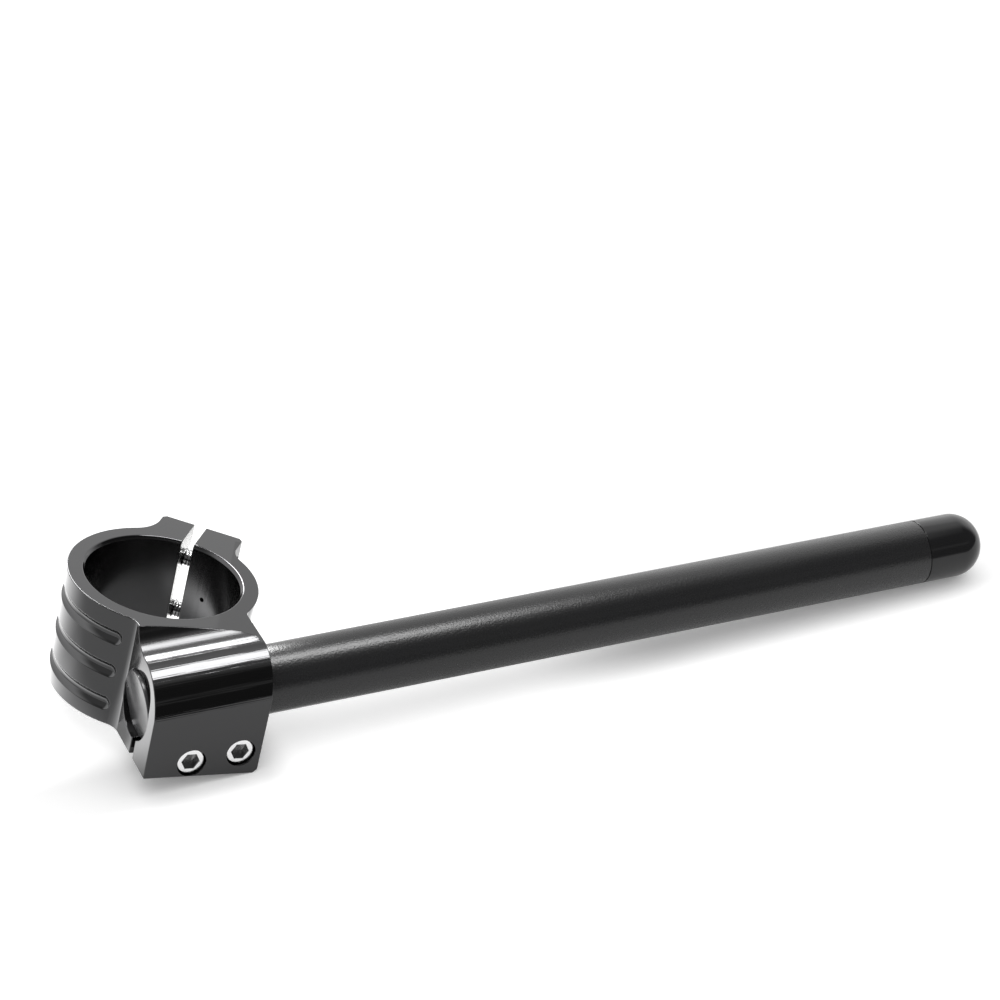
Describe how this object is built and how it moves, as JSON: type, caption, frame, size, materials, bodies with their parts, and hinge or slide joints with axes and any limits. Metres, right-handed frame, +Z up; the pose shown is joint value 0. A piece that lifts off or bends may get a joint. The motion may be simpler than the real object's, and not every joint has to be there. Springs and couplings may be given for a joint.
{
  "type": "clip-on handlebar",
  "caption": "Clip-on handlebar: a slotted ring clamp for a fork leg, with a split clamp at its side that holds a straight round bar with a domed end cap.",
  "frame": {"origin": "on the fork axis, at mid-height of the clamp ring", "axes": "+Z up the fork leg, +X outwards along the bar as seen from above, the bar lies in front of the fork at -Y and rises 10 degrees outwards"},
  "size_m": [0.3151, 0.0924, 0.0792],
  "materials": {
    "clamp_anodised": "black anodised, machined satin",
    "bar_anodised": "black anodised over a bead-blasted skin",
    "plug_plastic": "smooth moulded",
    "cap_plastic": "glossy moulded",
    "screw_steel": "bright zinc plated"
  },
  "bodies": {
    "root": {"fork_clamp": "clamp_anodised", "bar_tube": "bar_anodised", "inner_plug": "plug_plastic", "end_cap": "cap_plastic", "bar_screw_inner": "screw_steel", "bar_screw_outer": "screw_steel", "pinch_bolt_upper": "screw_steel", "pinch_bolt_lower": "screw_steel"}
  },
  "joints": []
}
